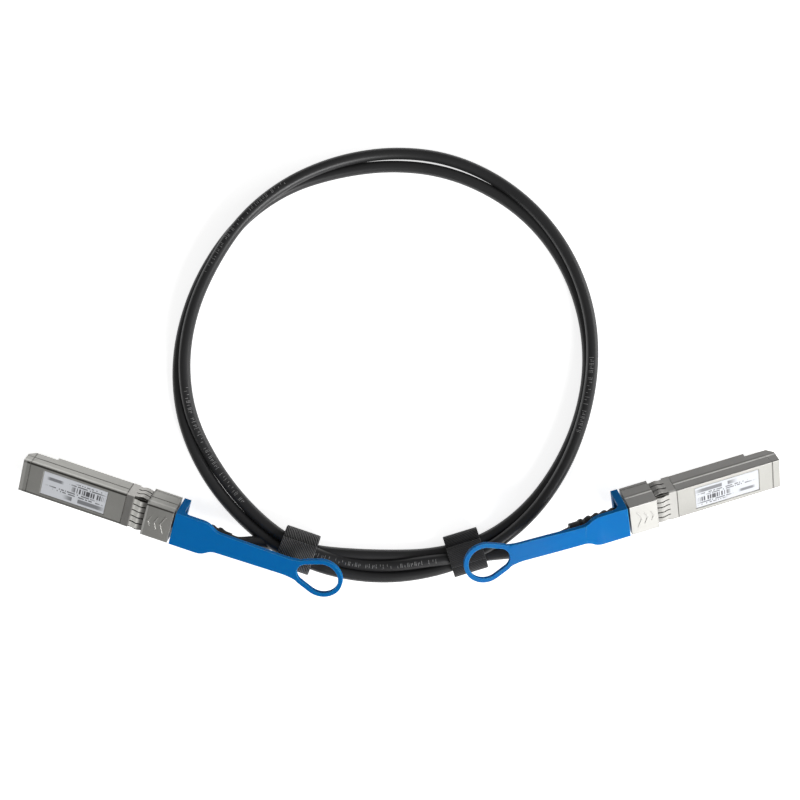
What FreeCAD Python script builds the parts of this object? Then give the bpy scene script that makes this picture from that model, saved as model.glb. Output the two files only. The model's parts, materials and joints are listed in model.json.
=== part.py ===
import FreeCAD, Part
import math
import os

# Direct attach copper cable: two small form-factor plugs on one round cable that lies coiled
# and tied on a table. Millimetres, +Z up, table at z = 0, origin below the middle of the plugs.
# A plug is drawn in its own frame: x runs back from the nose, z out of the label face.

Vector = FreeCAD.Vector

# plug body, the part that goes into a cage
BODY_LENGTH = 47.5
BODY_WIDTH = 13.4
BODY_HEIGHT = 8.5
SPLIT_HEIGHT = 4.75
WALL = 1.1
FLOOR = 0.8
COVER = 0.9
EDGE_ROUND = 0.35
SEAM = 0.08

# open nose round the card edge
NOSE_OPENING = 10.4
NOSE_RELIEF = 1.6
NOSE_BRIDGE = 2.6
NOSE_SLANT = 1.2
NOSE_CHAMFER = 2.3
NOSE_MOUTH = 5.9

# head, the part that stays outside the cage
HEAD_LENGTH = 10.3
HEAD_WIDTH = 13.8
HEAD_RISE = 1.6
HEAD_DROP = 1.1
HEAD_LEDGE = 1.3
LEDGE_DEPTH = 0.25
LEDGE_LINE = 0.2
CHEVRON_COUNT = 3
CHEVRON_PLACE = 4.2
CHEVRON_PITCH = 2.3
CHEVRON_HALF_WIDTH = 3.6
CHEVRON_SHRINK = 0.75
CHEVRON_DEPTH = 1.5
CHEVRON_LINE = 0.35
CHEVRON_HEIGHT = 0.15

# label and its pocket
LABEL_START = 8.2
LABEL_LENGTH = 24.2
LABEL_WIDTH = 9.6
LABEL_THICKNESS = 0.12
LABEL_MARGIN = 0.3
POCKET_DEPTH = 0.25

# spring collar
COLLAR_SETBACK = 8.1
COLLAR_BAND = 2.8
COLLAR_SHEET = 0.24
COLLAR_SEAT = 0.3
COLLAR_PLAY = 0.03
FINGER_LENGTH = 5.0
FINGER_CREST = 0.55
FINGER_BOW = [(0.22, 0.15), (0.52, 1.0), (0.68, 0.9), (1.0, 0.1)]
FINGER_PITCH = 2.45
FINGER_SLOT = 0.5
TOP_FINGERS = 5
SIDE_FINGERS = 3
COLLAR_GAP = 3.4
COLLAR_KEEP = 1.2

# circuit board and what is soldered to it
BOARD_SETBACK = 7.4
BOARD_WIDTH = 9.2
BOARD_THICKNESS = 1.0
BOARD_BOTTOM = 2.25
BOARD_START = 0.6
BOARD_CHAMFER = 0.5
LEDGE_WIDTH = 1.4
PAD_COUNT = 10
PAD_PITCH = 0.8
PAD_WIDTH = 0.5
PAD_LENGTH = 3.0
PAD_THICKNESS = 0.05
CHIP_LENGTH = 5.0
CHIP_WIDTH = 4.0
CHIP_HEIGHT = 1.2
CHIP_PLACE = 14.0
CAPACITOR_LENGTH = 1.0
CAPACITOR_WIDTH = 0.5
CAPACITOR_SETBACK = 11.1
CAPACITOR_PITCH = 1.9
CAPACITOR_COUNT = 4

# cable and what holds its end
CABLE_DIAMETER = 4.4
PAIR_DIAMETER = 1.5
PAIR_SPACING = 2.1
PAIR_ROOM = 0.3
PAIR_SETBACK = 10.0
JACKET_INSET = 2.9
CRIMP_LENGTH = 4.0
CRIMP_WALL = 0.6
BOOT_LENGTH = 21.5
BOOT_DIAMETER = 6.2
BOOT_WAIST = 5.3
BOOT_NECK = 2.8
BOOT_RINGS = 6
BOOT_RING_SHARE = 0.3
BOOT_SIDES = 16
BOOT_START = 0.4
FIT = 0.05

# latch rocker under the head
CHANNEL_WIDTH = 3.2
CHANNEL_SETBACK = 5.9
CHANNEL_ROOF = 1.75
LATCH_WIDTH = 2.5
LATCH_SHEET = 0.8
LATCH_PIVOT_INSET = 1.45
LATCH_PIVOT_Z = 0.35
LATCH_EYE = 0.95
LATCH_FRONT_SETBACK = 5.3
LATCH_FLUSH = 0.05
LATCH_REAR_INSET = 8.7
LATCH_REAR_DROP = 0.6
LATCH_BEND = 1.2
BOSS_SETBACK = 2.5
BOSS_LENGTH = 2.5
BOSS_HEIGHT = 0.4
BUMP_INSET = 6.5
BUMP_RADIUS = 0.6
PIN_DIAMETER = 1.0
PIN_LENGTH = 6.0
LATCH_ANGLE = math.radians(6.2)
TAB_TRAVEL = 2.5
SPRING_SHEET = 0.15
SPRING_REACH = 3.4
SPRING_FOOT = 0.8
SPRING_WIDTH = 1.9
SPRING_PLAY = 0.02

# rivets pressed through the two shells
RIVET_INSET = 5.1
RIVET_SPACING = 9.8
RIVET_DIAMETER = 1.6
RIVET_SIDES = 12
RIVET_LENGTH = 8.2
RIVET_SINK = 0.2

# pull tab
TAB_GAP = 0.7
TAB_THICKNESS = 1.5
TAB_WIDTH = 13.7
PLATE_LENGTH = 11.0
SHOULDER_LENGTH = 7.5
STRAP_WIDTH = 8.2
STRAP_END_WIDTH = 7.2
STRAP_END = 43.0
LOOP_NECK = 52.2
LOOP_NECK_RADIUS = 4.0
LOOP_CENTRE = 57.6
LOOP_RADIUS = 6.1
LOOP_ROD = 1.6
YOKE_LENGTH = 2.6
YOKE_WALL = 1.4
YOKE_FILLET = 2.4
YOKE_BASE = 2.5
TONGUE_TOP = 1.45
TONGUE_LEAD = 0.2

# where each plug lies: nose position on the table, heading, roll and lift in degrees
PLUGS = {
    "left": {"nose": (-135.35, 21.25), "heading": -18.5, "roll": 27.5, "lift": 1.0},
    "right": {"nose": (136.85, 23.12), "heading": 196.43, "roll": -39.0, "lift": 4.5},
}

# coil of cable and its two ties
COIL_CENTRE = (-4.25, 57.15)
COIL_OUTER_RADIUS = 79.6
COIL_WIDTH = 9.2
COIL_HEIGHT = 4.6
COIL_CHAMFER = 1.3
TIE_WIDTH = 12.0
TIE_SHEET = 1.1
TIE_ROUND = 1.8
TIE_TAIL = 8.0
TIES = {
    "left": {"angle": 243.2, "out": 74.9, "reach": 12.0, "height": 7.4},
    "right": {"angle": 292.3, "out": 74.1, "reach": 13.0, "height": 5.0},
}

# free cable between each boot and the coil: straight lead from the boot, then the points after it
TAIL_LEAD = {"left": 15.0, "right": 13.5}
TAIL_POINTS = {
    "left": [(-33.0, -13.6, 3.4)],
    "right": [(36.0, -10.9, 8.6), (20.0, -13.0, 3.1)],
}


def box(x0, x1, y0, y1, z0, z1):
    return Part.makeBox(x1 - x0, y1 - y0, z1 - z0, Vector(x0, y0, z0))


def slab(x0, x1, width, z0, z1):
    return box(x0, x1, -width / 2, width / 2, z0, z1)


def rod(x0, x1, radius, y=0.0, z=SPLIT_HEIGHT):
    return Part.makeCylinder(radius, x1 - x0, Vector(x0, y, z), Vector(1, 0, 0))


def prism(x0, length, radius, sides, y, z):
    """Many-sided bar along x, with its corners on the given radius."""
    step = 2 * math.pi / sides
    turns = [(index + 0.5) * step for index in range(sides)]
    corners = [Vector(x0, y + radius * math.cos(turn), z + radius * math.sin(turn)) for turn in turns]
    return Part.Face(Part.makePolygon(corners + corners[:1])).extrude(Vector(length, 0, 0))


def cross_rod(x, z, radius, width):
    return Part.makeCylinder(radius, width, Vector(x, -width / 2, z), Vector(0, 1, 0))


def side_profile(points, width):
    """Solid with the outline of points in the xz plane, centred on y = 0."""
    corners = [Vector(x, -width / 2, z) for x, z in points]
    wire = Part.makePolygon(corners + corners[:1])
    return Part.Face(wire).extrude(Vector(0, width, 0))


def top_profile(points, z0, z1):
    corners = [Vector(x, y, z0) for x, y in points]
    wire = Part.makePolygon(corners + corners[:1])
    return Part.Face(wire).extrude(Vector(0, 0, z1 - z0))


def long_edges(shape, low_z, high_z):
    """Straight edges along x at the given heights."""
    found = []
    for edge in shape.Edges:
        ends = [vertex.Point for vertex in edge.Vertexes]
        if len(ends) != 2 or abs(ends[0].y - ends[1].y) > 1e-6 or abs(ends[0].z - ends[1].z) > 1e-6:
            continue
        if low_z - 1e-6 <= ends[0].z <= high_z + 1e-6 and abs(ends[0].y) > BODY_WIDTH / 2 - 1e-6:
            found.append(edge)
    return found


# places along the plug, all set from the end of the body
HEAD_END = BODY_LENGTH + HEAD_LENGTH
COLLAR_START = BODY_LENGTH - COLLAR_SETBACK
BOARD_END = BODY_LENGTH - BOARD_SETBACK
CAPACITOR_PLACE = BOARD_END - CAPACITOR_SETBACK
PAIR_START = BODY_LENGTH - PAIR_SETBACK
JACKET_START = BODY_LENGTH + JACKET_INSET
CHANNEL_START = BODY_LENGTH - CHANNEL_SETBACK
LATCH_PIVOT_X = BODY_LENGTH + LATCH_PIVOT_INSET
LATCH_FRONT = BODY_LENGTH - LATCH_FRONT_SETBACK
LATCH_REAR = BODY_LENGTH + LATCH_REAR_INSET
BOSS_SHOULDER = BODY_LENGTH - BOSS_SETBACK
BUMP_PLACE = BODY_LENGTH + BUMP_INSET
RIVET_PLACE = BODY_LENGTH + RIVET_INSET
HEAD_TOP = BODY_HEIGHT + HEAD_RISE
BOOT_END = HEAD_END + BOOT_LENGTH
CAVITY_WIDTH = BODY_WIDTH - 2 * WALL
FINGER_END = COLLAR_START + COLLAR_BAND + FINGER_LENGTH
CRIMP_RADIUS = CABLE_DIAMETER / 2 + FIT + CRIMP_WALL
TONGUE_SLOPE = (BUMP_PLACE - LATCH_PIVOT_X) * math.tan(LATCH_ANGLE) / TAB_TRAVEL


def cable_passage():
    """Round space for the wire pairs, the crimp ring and the neck of the boot."""
    pairs = slab(
        CHANNEL_START - 1,
        JACKET_START,
        PAIR_SPACING + PAIR_DIAMETER + 2 * PAIR_ROOM,
        BOARD_BOTTOM + BOARD_THICKNESS - PAIR_ROOM,
        SPLIT_HEIGHT + PAIR_DIAMETER,
    )
    return pairs.fuse(rod(JACKET_START - PAIR_ROOM, HEAD_END + 1, CRIMP_RADIUS + FIT))


def collar_seat():
    """Shallow band cut round the body for the spring collar."""
    outer = slab(COLLAR_START - SEAM, BODY_LENGTH, BODY_WIDTH + 2, -1, BODY_HEIGHT + 1)
    x0 = COLLAR_START - 1
    x1 = BODY_LENGTH + 1
    inner = slab(x0, x1, BODY_WIDTH - 2 * COLLAR_SEAT, COLLAR_SEAT, BODY_HEIGHT - COLLAR_SEAT)
    keep = slab(x0, x1, COLLAR_GAP + COLLAR_KEEP, -2, COLLAR_SEAT + 0.1)
    return outer.cut(inner).cut(keep)


def rivet_solids(clearance):
    """The two rivets, or with a clearance the holes for them, open below."""
    radius = RIVET_DIAMETER / 2 + clearance
    bottom = -HEAD_DROP + RIVET_SINK - (1 if clearance else 0)
    top = -HEAD_DROP + RIVET_SINK + RIVET_LENGTH + clearance
    step = 2 * math.pi / RIVET_SIDES
    solids = []
    for side in (-1, 1):
        y = side * RIVET_SPACING / 2
        turns = [index * step for index in range(RIVET_SIDES)]
        corners = [(RIVET_PLACE + radius * math.cos(turn), y + radius * math.sin(turn)) for turn in turns]
        solids.append(top_profile(corners, bottom, top))
    return solids


def lower_shell():
    body = slab(0, BODY_LENGTH, BODY_WIDTH, 0, SPLIT_HEIGHT)
    head = slab(BODY_LENGTH, HEAD_END, HEAD_WIDTH, -HEAD_DROP, SPLIT_HEIGHT)
    bridge = side_profile(
        [
            (0, SPLIT_HEIGHT - 1),
            (NOSE_BRIDGE + NOSE_SLANT, SPLIT_HEIGHT - 1),
            (NOSE_BRIDGE + NOSE_SLANT, SPLIT_HEIGHT),
            (NOSE_BRIDGE, BODY_HEIGHT),
            (0, BODY_HEIGHT),
        ],
        BODY_WIDTH,
    )
    shell = body.fuse([head, bridge]).removeSplitter()
    shell = shell.makeFillet(EDGE_ROUND, long_edges(shell, -HEAD_DROP, 0) + long_edges(shell, 8, 9))
    cavity = slab(NOSE_OPENING - 1, CHANNEL_START, CAVITY_WIDTH, FLOOR, SPLIT_HEIGHT + 1)
    ledge = slab(NOSE_OPENING - 2, CHANNEL_START, CAVITY_WIDTH + 1, FLOOR, BOARD_BOTTOM)
    trough = slab(NOSE_OPENING - 3, CHANNEL_START, CAVITY_WIDTH - 2 * LEDGE_WIDTH, FLOOR, BOARD_BOTTOM)
    cavity = cavity.cut(ledge.cut(trough))
    mouth = slab(-1, NOSE_OPENING, CAVITY_WIDTH, -1, NOSE_MOUTH)
    relief = slab(-1, NOSE_OPENING, BODY_WIDTH + 2, -1, NOSE_RELIEF)
    chamfer = side_profile(
        [(-1, -1), (NOSE_CHAMFER, -1), (NOSE_CHAMFER, NOSE_RELIEF), (0, NOSE_RELIEF + NOSE_CHAMFER), (-1, 6)],
        BODY_WIDTH + 2,
    )
    channel = slab(CHANNEL_START, HEAD_END + 1, CHANNEL_WIDTH, -HEAD_DROP - 1, CHANNEL_ROOF)
    pin_hole = cross_rod(LATCH_PIVOT_X, LATCH_PIVOT_Z, PIN_DIAMETER / 2 + FIT / 2, PIN_LENGTH + 2 * FIT)
    ledge_z = HEAD_LEDGE - HEAD_DROP
    line = slab(BODY_LENGTH - 1, HEAD_END + 1, HEAD_WIDTH + 2, ledge_z, ledge_z + LEDGE_LINE)
    line = line.cut(slab(BODY_LENGTH - 2, HEAD_END + 2, HEAD_WIDTH - 2 * LEDGE_DEPTH, -3, 3))
    shell = shell.cut([cavity, mouth, relief, chamfer, channel, pin_hole, line])
    return shell.cut([cable_passage(), collar_seat()] + rivet_solids(FIT / 2))


def chevron(index):
    """One raised insertion arrow, pointing to the nose, smaller towards it."""
    half = CHEVRON_HALF_WIDTH * CHEVRON_SHRINK**index
    depth = CHEVRON_DEPTH * CHEVRON_SHRINK**index
    tip = HEAD_END - CHEVRON_PLACE - CHEVRON_PITCH * index
    z0 = HEAD_TOP - 0.1
    outline = [
        (tip + depth, half),
        (tip, 0),
        (tip + depth, -half),
        (tip + depth + CHEVRON_LINE, -half),
        (tip + CHEVRON_LINE, 0),
        (tip + depth + CHEVRON_LINE, half),
    ]
    return top_profile(outline, z0, HEAD_TOP + CHEVRON_HEIGHT)


def upper_shell():
    base = SPLIT_HEIGHT + SEAM
    front = NOSE_BRIDGE + SEAM
    body = side_profile(
        [(front + NOSE_SLANT, base), (BODY_LENGTH, base), (BODY_LENGTH, BODY_HEIGHT), (front, BODY_HEIGHT)],
        BODY_WIDTH,
    )
    head = slab(BODY_LENGTH, HEAD_END, HEAD_WIDTH, base, HEAD_TOP)
    shell = body.fuse(head).removeSplitter()
    shell = shell.makeFillet(EDGE_ROUND, long_edges(shell, 8, 12))
    cavity = slab(
        NOSE_BRIDGE + NOSE_SLANT + WALL, CHANNEL_START, CAVITY_WIDTH, SPLIT_HEIGHT - 1, BODY_HEIGHT - COVER
    )
    pocket = slab(
        LABEL_START - LABEL_MARGIN,
        LABEL_START + LABEL_LENGTH + LABEL_MARGIN,
        LABEL_WIDTH + 2 * LABEL_MARGIN,
        BODY_HEIGHT - POCKET_DEPTH,
        BODY_HEIGHT + 1,
    )
    shell = shell.cut([cavity, pocket, cable_passage(), collar_seat()] + rivet_solids(FIT / 2))
    return shell.fuse([chevron(index) for index in range(CHEVRON_COUNT)]).removeSplitter()


def finger(offset_from_face):
    """Side outline of one spring finger, as (x, height) above the seat."""
    root = COLLAR_START + COLLAR_BAND
    line = [(root - COLLAR_SHEET, offset_from_face)]
    for share, rise in FINGER_BOW:
        line.append((root + FINGER_LENGTH * share, offset_from_face + FINGER_CREST * rise))
    upper = [(x, z + COLLAR_SHEET) for x, z in line]
    return upper + line[::-1]


def collar():
    """Folded spring band with bowed fingers over the label face and both sides."""
    top = BODY_HEIGHT - COLLAR_SEAT + COLLAR_PLAY
    half = BODY_WIDTH / 2 - COLLAR_SEAT + COLLAR_PLAY
    bottom = COLLAR_SEAT - COLLAR_PLAY
    x0 = COLLAR_START
    x1 = COLLAR_START + COLLAR_BAND
    outer = slab(x0, x1, 2 * (half + COLLAR_SHEET), bottom - COLLAR_SHEET, top + COLLAR_SHEET)
    inner = slab(x0 - 1, x1 + 1, 2 * half, bottom, top)
    gap = slab(x0 - 1, x1 + 1, COLLAR_GAP + 2 * COLLAR_KEEP, -2, SPLIT_HEIGHT)
    pieces = [outer.cut(inner).cut(gap)]
    width = FINGER_PITCH - FINGER_SLOT
    for index in range(TOP_FINGERS):
        strip = side_profile(finger(top), width)
        strip.translate(Vector(0, (index - (TOP_FINGERS - 1) / 2) * FINGER_PITCH, 0))
        pieces.append(strip)
    middle = (top + bottom) / 2
    for side in (-1, 1):
        for index in range(SIDE_FINGERS):
            strip = side_profile(finger(half), width)
            strip.rotate(Vector(0, 0, 0), Vector(1, 0, 0), -90 * side)
            strip.translate(Vector(0, 0, middle + (index - (SIDE_FINGERS - 1) / 2) * FINGER_PITCH))
            pieces.append(strip)
    return pieces[0].fuse(pieces[1:])


def loop_outline(neck_radius, end_radius):
    """Egg of two arcs joined by their common tangents."""
    lean = math.acos((end_radius - neck_radius) / (LOOP_CENTRE - LOOP_NECK))
    neck = Vector(HEAD_END + LOOP_NECK, 0, 0)
    end = Vector(HEAD_END + LOOP_CENTRE, 0, 0)
    turn = math.pi - lean
    up = Vector(math.cos(turn), math.sin(turn), 0)
    down = Vector(math.cos(turn), -math.sin(turn), 0)
    arcs = [
        Part.Arc(end + down * end_radius, end + Vector(end_radius, 0, 0), end + up * end_radius),
        Part.LineSegment(end + up * end_radius, neck + up * neck_radius),
        Part.Arc(neck + up * neck_radius, neck - Vector(neck_radius, 0, 0), neck + down * neck_radius),
        Part.LineSegment(neck + down * neck_radius, end + down * end_radius),
    ]
    return Part.Face(Part.Wire([arc.toShape() for arc in arcs]))


def level_arc(start, end):
    """Arc in the xy plane that leaves start along x and arrives at end."""
    along = end.x - start.x
    across = end.y - start.y
    radius = (along**2 + across**2) / (2 * abs(across))
    turn = math.atan2(abs(along), radius - abs(across)) / 2
    reach = math.copysign(radius * math.sin(turn), along)
    rise = math.copysign(radius * (1 - math.cos(turn)), across)
    return Part.Arc(start, start + Vector(reach, rise, 0), end)


def strap_outline():
    """Wide plate that narrows in an S to the strap and flares to the loop."""
    half = TAB_WIDTH / 2
    strap = STRAP_WIDTH / 2
    end = STRAP_END_WIDTH / 2
    x0 = HEAD_END + TAB_GAP
    x1 = HEAD_END + PLATE_LENGTH
    x2 = x1 + SHOULDER_LENGTH
    x3 = HEAD_END + STRAP_END
    x4 = HEAD_END + LOOP_NECK
    flare = LOOP_NECK_RADIUS + LOOP_ROD
    edges = []
    for side in (1, -1):
        corner = Vector(x1, side * half, 0)
        inner = Vector(x2, side * strap, 0)
        mid = (corner + inner) * 0.5
        neck = Vector(x3, side * end, 0)
        edges.append(Part.LineSegment(Vector(x0, side * half, 0), corner))
        edges.append(level_arc(corner, mid))
        edges.append(level_arc(inner, mid))
        edges.append(Part.LineSegment(inner, neck))
        edges.append(level_arc(neck, Vector(x4, side * flare, 0)))
    edges.append(Part.LineSegment(Vector(x0, half, 0), Vector(x0, -half, 0)))
    edges.append(Part.LineSegment(Vector(x4, flare, 0), Vector(x4, -flare, 0)))
    return Part.Face(Part.Wire(Part.__sortEdges__([edge.toShape() for edge in edges])))


def tab_yoke():
    """Frame behind the head, as tall as the head and open round the boot."""
    x0 = HEAD_END + TAB_GAP
    x1 = x0 + YOKE_LENGTH
    under = HEAD_TOP - TAB_THICKNESS
    frame = slab(x0, x1 + YOKE_FILLET, TAB_WIDTH, -HEAD_DROP, HEAD_TOP - 0.5)
    hollow = slab(x0 - 1, x1 + PLATE_LENGTH, TAB_WIDTH - 2 * YOKE_WALL, -HEAD_DROP + YOKE_BASE, under)
    round_cut = cross_rod(x1 + YOKE_FILLET, under - YOKE_FILLET, YOKE_FILLET, TAB_WIDTH + 2)
    rear_cut = slab(x1, x1 + PLATE_LENGTH, TAB_WIDTH + 2, -HEAD_DROP - 1, under - YOKE_FILLET)
    return frame.cut([hollow, round_cut, rear_cut])


def tab_tongue():
    """Wedge that reaches forward in the channel and presses the latch rocker down."""
    x0 = BUMP_PLACE - TAB_TRAVEL - TONGUE_LEAD
    rest = bump_top() + FIT
    low = rest - TONGUE_SLOPE * (BUMP_PLACE - x0)
    x1 = BUMP_PLACE + TONGUE_LEAD
    x2 = HEAD_END + TAB_GAP + YOKE_WALL
    high = rest + TONGUE_SLOPE * (x1 - BUMP_PLACE)
    points = [(x0, low), (x1, high), (x2, high), (x2, TONGUE_TOP), (x0, TONGUE_TOP)]
    return side_profile(points, LATCH_WIDTH)


def bump_top():
    return LATCH_FLUSH + LATCH_SHEET - LATCH_REAR_DROP + BUMP_RADIUS


def pull_tab():
    flat = strap_outline().fuse(loop_outline(LOOP_NECK_RADIUS + LOOP_ROD, LOOP_RADIUS + LOOP_ROD))
    flat = flat.cut(loop_outline(LOOP_NECK_RADIUS, LOOP_RADIUS)).removeSplitter()
    plate = flat.extrude(Vector(0, 0, TAB_THICKNESS))
    plate.translate(Vector(0, 0, HEAD_TOP - TAB_THICKNESS))
    return plate.fuse([tab_yoke(), tab_tongue()]).removeSplitter()


def latch_arm():
    """Rocker with the retaining boss in front of its pivot and a lever behind it."""
    low = LATCH_FLUSH
    high = LATCH_FLUSH + LATCH_SHEET
    bend = LATCH_PIVOT_X
    rear_high = high - LATCH_REAR_DROP
    rear_low = low - LATCH_REAR_DROP
    arm = side_profile(
        [
            (LATCH_FRONT, low),
            (bend, low),
            (bend + LATCH_BEND, rear_low),
            (LATCH_REAR, rear_low),
            (LATCH_REAR, rear_high),
            (bend + LATCH_BEND, rear_high),
            (bend, high),
            (LATCH_FRONT, high),
        ],
        LATCH_WIDTH,
    )
    boss = side_profile(
        [
            (BOSS_SHOULDER, low + 0.1),
            (BOSS_SHOULDER, -BOSS_HEIGHT),
            (BOSS_SHOULDER - BOSS_LENGTH + BOSS_HEIGHT + low, -BOSS_HEIGHT),
            (BOSS_SHOULDER - BOSS_LENGTH, low + 0.1),
        ],
        LATCH_WIDTH,
    )
    eye = cross_rod(LATCH_PIVOT_X, LATCH_PIVOT_Z, LATCH_EYE, LATCH_WIDTH)
    bump = cross_rod(BUMP_PLACE, rear_high, BUMP_RADIUS, LATCH_WIDTH)
    hole = cross_rod(LATCH_PIVOT_X, LATCH_PIVOT_Z, PIN_DIAMETER / 2 + FIT / 2, LATCH_WIDTH + 1)
    return arm.fuse([boss, eye, bump]).cut(hole).removeSplitter()


def latch_pin():
    return cross_rod(LATCH_PIVOT_X, LATCH_PIVOT_Z, PIN_DIAMETER / 2, PIN_LENGTH)


def latch_spring():
    """Bent leaf between the roof of the channel and the front of the rocker."""
    roof = CHANNEL_ROOF - SPRING_SHEET - SPRING_PLAY
    seat = LATCH_FLUSH + LATCH_SHEET + SPRING_PLAY
    x0 = LATCH_FRONT + SPRING_FOOT
    x1 = x0 + SPRING_REACH
    lower = [(x0, seat), (x0 + SPRING_FOOT, seat), (x1 - SPRING_FOOT, roof), (x1, roof)]
    upper = [(x, z + SPRING_SHEET) for x, z in reversed(lower)]
    return side_profile(lower + upper, SPRING_WIDTH)


def circuit_board():
    board = slab(BOARD_START, BOARD_END, BOARD_WIDTH, BOARD_BOTTOM, BOARD_BOTTOM + BOARD_THICKNESS)
    front = [edge for edge in board.Edges if abs(edge.BoundBox.XMax - BOARD_START) < 1e-6]
    corners = [edge for edge in front if edge.BoundBox.ZLength > BOARD_THICKNESS / 2]
    return board.makeChamfer(BOARD_CHAMFER, corners)


def contact_pads():
    pads = []
    top = BOARD_BOTTOM + BOARD_THICKNESS
    for z0 in (BOARD_BOTTOM - PAD_THICKNESS, top):
        for index in range(PAD_COUNT):
            y = (index - (PAD_COUNT - 1) / 2) * PAD_PITCH
            x = BOARD_START + 0.6
            pads.append(box(x, x + PAD_LENGTH, y - PAD_WIDTH / 2, y + PAD_WIDTH / 2, z0, z0 + PAD_THICKNESS))
    return Part.makeCompound(pads)


def memory_chip():
    top = BOARD_BOTTOM + BOARD_THICKNESS
    body = slab(CHIP_PLACE, CHIP_PLACE + CHIP_LENGTH, CHIP_WIDTH, top + 0.1, top + CHIP_HEIGHT)
    feet = slab(CHIP_PLACE + 0.5, CHIP_PLACE + CHIP_LENGTH - 0.5, CHIP_WIDTH + 1.6, top, top + 0.3)
    return body.fuse(feet).removeSplitter()


def capacitors():
    top = BOARD_BOTTOM + BOARD_THICKNESS
    blocks = []
    for side in (-1, 1):
        for index in range(CAPACITOR_COUNT):
            x = CAPACITOR_PLACE + index * CAPACITOR_PITCH
            y = side * (BOARD_WIDTH / 4) - CAPACITOR_WIDTH / 2
            blocks.append(box(x, x + CAPACITOR_LENGTH, y, y + CAPACITOR_WIDTH, top, top + CAPACITOR_WIDTH))
    return Part.makeCompound(blocks)


def wire_pairs():
    z = BOARD_BOTTOM + BOARD_THICKNESS + PAIR_DIAMETER / 2 + 0.02
    length = JACKET_START - PAIR_START
    wires = [prism(PAIR_START, length, PAIR_DIAMETER / 2, 8, side * PAIR_SPACING / 2, z) for side in (-1, 1)]
    return Part.makeCompound(wires)


def jacket_end():
    return rod(JACKET_START, BOOT_END, CABLE_DIAMETER / 2)


def crimp_ring():
    outer = prism(JACKET_START + 0.2, CRIMP_LENGTH, CRIMP_RADIUS, 6, 0, SPLIT_HEIGHT)
    return outer.cut(rod(JACKET_START, JACKET_START + CRIMP_LENGTH + 1, CABLE_DIAMETER / 2 + FIT))


def boot_outline():
    """Places and radii along the boot: neck, then full rings with grooves that slope to the waist."""
    pitch = (BOOT_LENGTH - BOOT_START) / BOOT_RINGS
    outline = [(HEAD_END - BOOT_NECK, CRIMP_RADIUS), (HEAD_END + BOOT_START - FIT, CRIMP_RADIUS)]
    for index in range(BOOT_RINGS):
        x = HEAD_END + BOOT_START + index * pitch
        outline += [(x, BOOT_WAIST / 2), (x + pitch * BOOT_RING_SHARE, BOOT_DIAMETER / 2)]
    outline.append((BOOT_END, BOOT_WAIST / 2))
    return outline


def strain_relief():
    """Ringed many-sided boot moulded round the jacket."""
    step = 2 * math.pi / BOOT_SIDES
    wires = []
    for x, radius in boot_outline():
        turns = [index * step for index in range(BOOT_SIDES)]
        corners = [Vector(x, radius * math.cos(t), SPLIT_HEIGHT + radius * math.sin(t)) for t in turns]
        wires.append(Part.makePolygon(corners + corners[:1]))
    boot = Part.makeLoft(wires, True, True)
    return boot.cut(rod(HEAD_END - BOOT_NECK - 1, BOOT_END + 1, CABLE_DIAMETER / 2 + FIT))


def label():
    floor = BODY_HEIGHT - POCKET_DEPTH
    return slab(LABEL_START, LABEL_START + LABEL_LENGTH, LABEL_WIDTH, floor, floor + LABEL_THICKNESS)


def shell_rivets():
    return Part.makeCompound(rivet_solids(0))


PLUG_PIECES = {
    "lower_shell": lower_shell,
    "upper_shell": upper_shell,
    "spring_collar": collar,
    "pull_tab": pull_tab,
    "latch_arm": latch_arm,
    "latch_pin": latch_pin,
    "latch_spring": latch_spring,
    "circuit_board": circuit_board,
    "contact_pads": contact_pads,
    "memory_chip": memory_chip,
    "capacitors": capacitors,
    "wire_pairs": wire_pairs,
    "jacket_end": jacket_end,
    "crimp_ring": crimp_ring,
    "strain_relief": strain_relief,
    "label": label,
    "shell_rivets": shell_rivets,
}


def plug_placement(side, pieces):
    """Turns a plug as it lies and sets its lowest corner on the table."""
    pose = PLUGS[side]
    heading = FreeCAD.Rotation(Vector(0, 0, 1), pose["heading"])
    lift = FreeCAD.Rotation(Vector(0, 1, 0), -pose["lift"])
    roll = FreeCAD.Rotation(Vector(1, 0, 0), pose["roll"])
    turn = heading.multiply(lift).multiply(roll)
    x, y = pose["nose"]
    placement = FreeCAD.Placement(Vector(x, y, 0), turn)
    lowest = min(placed(shape, placement).BoundBox.ZMin for shape in pieces)
    placement.Base = Vector(x, y, -lowest)
    return placement


def placed(shape, placement):
    return shape.transformed(placement.toMatrix())


def ring_frame(angle, out):
    """Point at that angle and distance from the coil's centre, with its outward and along directions."""
    turn = math.radians(angle)
    outward = Vector(math.cos(turn), math.sin(turn), 0)
    along = Vector(-math.sin(turn), math.cos(turn), 0)
    return Vector(*COIL_CENTRE, 0) + outward * out, outward, along


def rounded_section(width, z0, z1, corner, centre, outward):
    """Closed wire round a rounded rectangle that stands in the plane of outward and z."""
    w = width / 2
    up = Vector(0, 0, 1)
    middle = (z0 + z1) / 2
    h = (z1 - z0) / 2
    k = corner * (1 - math.sqrt(0.5))

    def at(u, v):
        return centre + outward * u + up * (middle + v)

    edges = []
    corners = [(1, 1), (-1, 1), (-1, -1), (1, -1)]
    for index, (a, b) in enumerate(corners):
        if a * b > 0:
            first, last = (a * w, b * (h - corner)), (a * (w - corner), b * h)
        else:
            first, last = (a * (w - corner), b * h), (a * w, b * (h - corner))
        edges.append(Part.Arc(at(*first), at(a * (w - k), b * (h - k)), at(*last)))
        c, d = corners[(index + 1) % 4]
        if c * d > 0:
            following = (c * w, d * (h - corner))
        else:
            following = (c * (w - corner), d * h)
        edges.append(Part.LineSegment(at(*last), at(*following)))
    return Part.Wire([edge.toShape() for edge in edges])


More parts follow.
